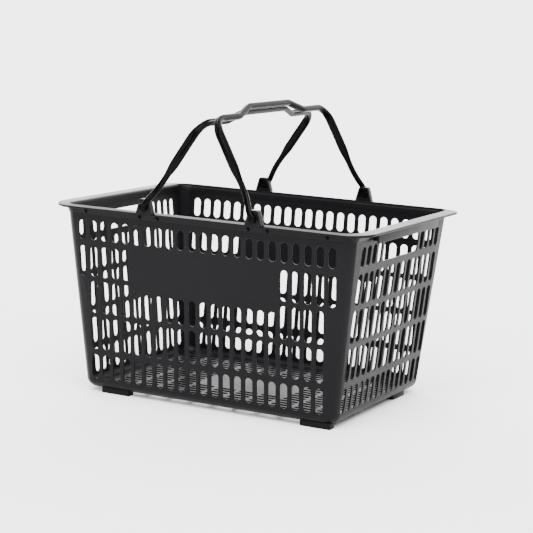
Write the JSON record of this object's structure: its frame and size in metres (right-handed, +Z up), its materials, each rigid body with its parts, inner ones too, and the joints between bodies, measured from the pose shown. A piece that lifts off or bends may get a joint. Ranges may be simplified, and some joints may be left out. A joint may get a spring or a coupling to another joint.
{
  "type": "shopping basket",
  "caption": "Black plastic supermarket hand basket with slotted tapering walls, a flanged rim with hand holds at the ends, low feet and two bail handles that fold outwards.",
  "frame": {"origin": "on the ground under the middle of the basket", "axes": "+X along the long side, +Y across from the front wall to the back wall, +Z up"},
  "size_m": [0.5, 0.3728, 0.427],
  "materials": {
    "basket_plastic": "satin",
    "leg_plastic": "gloss",
    "grip_plastic": "matte"
  },
  "bodies": {
    "basket": {"front_wall": "basket_plastic", "back_wall": "basket_plastic", "left_wall": "basket_plastic", "right_wall": "basket_plastic", "left_hand_hold": "basket_plastic", "right_hand_hold": "basket_plastic", "corner_post_front_left": "basket_plastic", "corner_post_front_right": "basket_plastic", "corner_post_back_left": "basket_plastic", "corner_post_back_right": "basket_plastic", "floor_pan": "basket_plastic", "foot_front_inner": "basket_plastic", "foot_front_outer": "basket_plastic", "foot_back_inner": "basket_plastic", "foot_back_outer": "basket_plastic", "foot_left_side": "basket_plastic", "foot_right_side": "basket_plastic", "rim_front": "basket_plastic", "rim_back": "basket_plastic", "rim_left": "basket_plastic", "rim_right": "basket_plastic", "rim_corner_front_left": "basket_plastic", "rim_corner_front_right": "basket_plastic", "rim_corner_back_left": "basket_plastic", "rim_corner_back_right": "basket_plastic", "grip_skirt_left": "basket_plastic", "grip_skirt_right": "basket_plastic", "pivot_ear_front_left": "basket_plastic", "pivot_ear_front_right": "basket_plastic", "pivot_ear_back_left": "basket_plastic", "pivot_ear_back_right": "basket_plastic"},
    "left_handle": {"left_handle_front_leg": "leg_plastic", "left_handle_back_leg": "leg_plastic", "left_handle_grip_bar": "grip_plastic"},
    "right_handle": {"right_handle_front_leg": "leg_plastic", "right_handle_back_leg": "leg_plastic", "right_handle_grip_bar": "grip_plastic"}
  },
  "joints": [
    {"name": "left_handle_pivot", "type": "hinge", "parent": "basket", "child": "left_handle", "pos_m": [-0.086, 0, 0.2825], "axis": [0, -1, 0], "range_deg": [0, 125.4]},
    {"name": "right_handle_pivot", "type": "hinge", "parent": "basket", "child": "right_handle", "pos_m": [0.086, 0, 0.2825], "axis": [0, 1, 0], "range_deg": [0, 120]}
  ]
}
